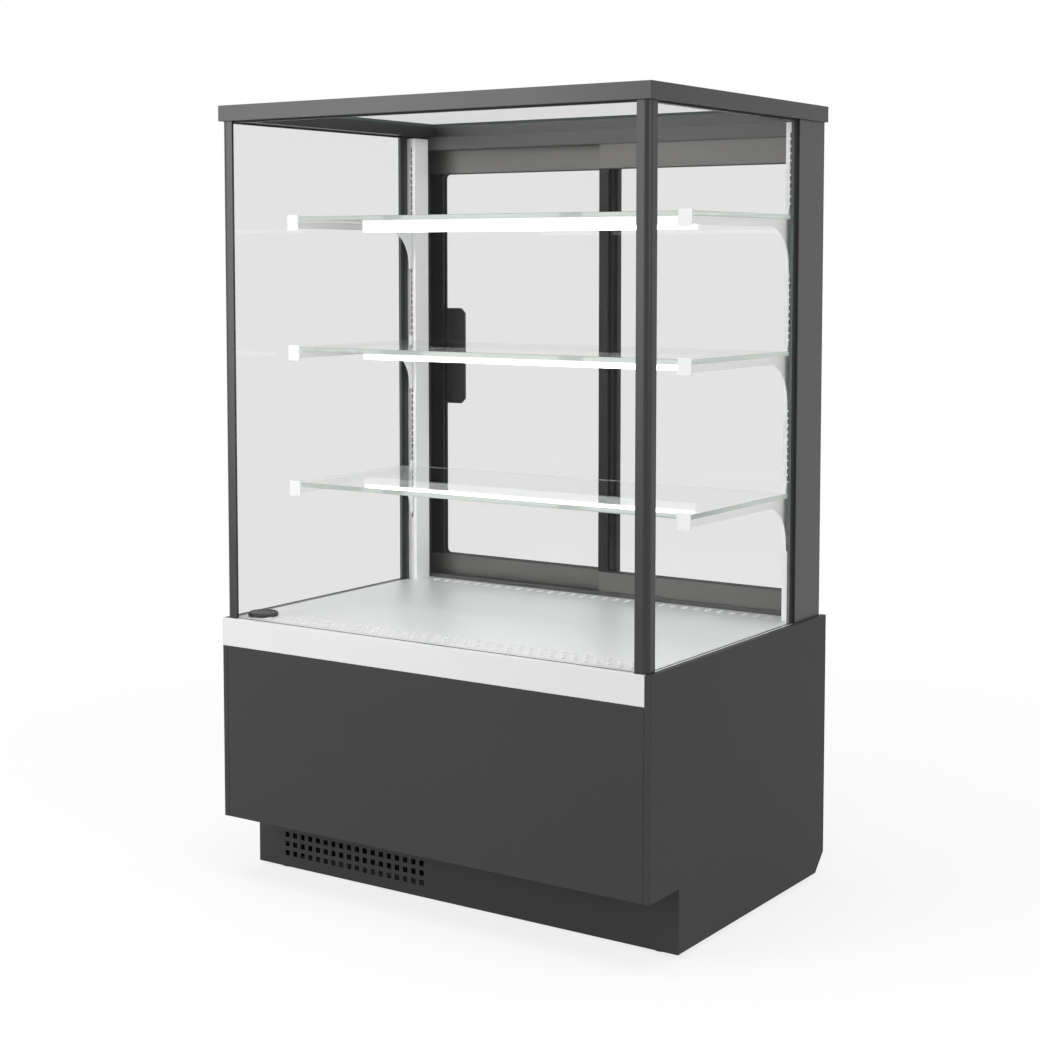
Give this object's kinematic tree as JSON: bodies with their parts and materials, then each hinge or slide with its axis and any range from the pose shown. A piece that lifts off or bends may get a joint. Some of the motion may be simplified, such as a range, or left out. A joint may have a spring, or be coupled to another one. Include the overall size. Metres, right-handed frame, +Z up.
{
  "type": "refrigerated pastry display case",
  "caption": "Floor-standing refrigerated pastry case with square glass sides, lit glass shelves, rear sliding doors and a dark base.",
  "frame": {"origin": "on the floor under the middle of the case", "axes": "+X to the right as the customer sees it, +Y to the staff side, +Z up"},
  "size_m": [0.9, 0.64, 1.408],
  "materials": {
    "graphite_paint": "satin powder coat",
    "white_paint": "satin powder coat",
    "white_plastic": "smooth moulded",
    "brushed_steel": "brushed",
    "galvanised_steel": "galvanised",
    "clear_glass": "clear",
    "black_rubber": "matte",
    "black_plastic": "fine grained",
    "black_enamel": "gloss enamel",
    "aluminium_fins": "mill",
    "copper": "bright copper"
  },
  "bodies": {
    "case": {"cable_gland": "black_plastic", "chassis_tray": "galvanised_steel", "compressor": "black_enamel", "condenser_coil": "aluminium_fins", "condenser_fan_shroud": "galvanised_steel", "control_panel": "black_plastic", "door_track_bottom": "graphite_paint", "door_track_top": "graphite_paint", "evaporator_coil": "aluminium_fins", "evaporator_fan_panel": "galvanised_steel", "front_fascia": "white_paint", "front_glass": "clear_glass", "front_panel": "graphite_paint", "front_post_left": "graphite_paint", "front_post_right": "graphite_paint", "glass_gaskets": "black_rubber", "insulated_well": "white_plastic", "kick_panel": "graphite_paint", "rear_post_left": "graphite_paint", "rear_post_right": "graphite_paint", "rear_service_panel": "graphite_paint", "rear_sill": "brushed_steel", "refrigerant_pipes": "copper", "roof_glass": "clear_glass", "roof_rail_front": "graphite_paint", "roof_rail_left": "graphite_paint", "roof_rail_rear": "graphite_paint", "roof_rail_right": "graphite_paint", "shelf_brackets_left": "white_paint", "shelf_brackets_right": "white_paint", "shelf_upright_left": "white_paint", "shelf_upright_right": "white_paint", "side_glass_left": "clear_glass", "side_glass_right": "clear_glass", "side_panel_left": "graphite_paint", "side_panel_right": "graphite_paint"},
    "door_left": {"door_left_frame": "graphite_paint", "door_left_glass": "clear_glass", "door_left_handle": "graphite_paint"},
    "door_right": {"door_right_frame": "graphite_paint", "door_right_glass": "clear_glass", "door_right_handle": "graphite_paint"},
    "shelf_1": {"shelf_glass_1": "clear_glass", "shelf_light_1": "white_plastic"},
    "shelf_2": {"shelf_glass_2": "clear_glass", "shelf_light_2": "white_plastic"},
    "shelf_3": {"shelf_glass_3": "clear_glass", "shelf_light_3": "white_plastic"},
    "deck": {"display_deck": "brushed_steel", "deck_thermometer": "black_plastic"},
    "condenser_fan": {"condenser_fan_blades": "black_plastic"},
    "evaporator_fan": {"evaporator_fan_blades": "black_plastic"},
    "button_up": {"controller_button_up": "black_plastic"},
    "button_down": {"controller_button_down": "black_plastic"},
    "power_rocker": {"power_switch": "black_plastic"},
    "light_rocker": {"light_switch": "black_plastic"},
    "foot_front_left": {"levelling_foot_front_left": "black_plastic"},
    "foot_front_right": {"levelling_foot_front_right": "black_plastic"},
    "foot_rear_left": {"levelling_foot_rear_left": "black_plastic"},
    "foot_rear_right": {"levelling_foot_rear_right": "black_plastic"}
  },
  "joints": [
    {"name": "door_left_slide", "type": "slide", "parent": "case", "child": "door_left", "axis": [1, 0, 0], "range_m": [0, 0.36]},
    {"name": "door_right_slide", "type": "slide", "parent": "case", "child": "door_right", "axis": [1, 0, 0], "range_m": [-0.36, 0]},
    {"name": "shelf_1_lift", "type": "slide", "parent": "case", "child": "shelf_1", "axis": [0, 0, 1], "range_m": [0, 0.04]},
    {"name": "shelf_2_lift", "type": "slide", "parent": "case", "child": "shelf_2", "axis": [0, 0, 1], "range_m": [0, 0.04]},
    {"name": "shelf_3_lift", "type": "slide", "parent": "case", "child": "shelf_3", "axis": [0, 0, 1], "range_m": [0, 0.04]},
    {"name": "deck_lift", "type": "slide", "parent": "case", "child": "deck", "axis": [0, 0, 1], "range_m": [0, 0.03]},
    {"name": "condenser_fan_spin", "type": "hinge", "parent": "case", "child": "condenser_fan", "pos_m": [-0.228, -0.139, 0.149], "axis": [0, 1, 0], "continuous": true},
    {"name": "evaporator_fan_spin", "type": "hinge", "parent": "case", "child": "evaporator_fan", "pos_m": [0, 0.051, 0.4], "axis": [0, 1, 0], "continuous": true},
    {"name": "button_up_press", "type": "slide", "parent": "case", "child": "button_up", "axis": [0, -1, 0], "range_m": [0, 0.001], "stiffness_N_per_m": 400},
    {"name": "button_down_press", "type": "slide", "parent": "case", "child": "button_down", "axis": [0, -1, 0], "range_m": [0, 0.001], "stiffness_N_per_m": 400},
    {"name": "power_rocker_tilt", "type": "hinge", "parent": "case", "child": "power_rocker", "pos_m": [0.296, 0.312, 0.462], "axis": [1, 0, 0], "range_deg": [-16, 0]},
    {"name": "light_rocker_tilt", "type": "hinge", "parent": "case", "child": "light_rocker", "pos_m": [0.318, 0.312, 0.462], "axis": [1, 0, 0], "range_deg": [-16, 0]},
    {"name": "foot_front_left_screw", "type": "slide", "parent": "case", "child": "foot_front_left", "axis": [0, 0, -1], "range_m": [0, 0.012]},
    {"name": "foot_front_right_screw", "type": "slide", "parent": "case", "child": "foot_front_right", "axis": [0, 0, -1], "range_m": [0, 0.012]},
    {"name": "foot_rear_left_screw", "type": "slide", "parent": "case", "child": "foot_rear_left", "axis": [0, 0, -1], "range_m": [0, 0.012]},
    {"name": "foot_rear_right_screw", "type": "slide", "parent": "case", "child": "foot_rear_right", "axis": [0, 0, -1], "range_m": [0, 0.012]}
  ]
}
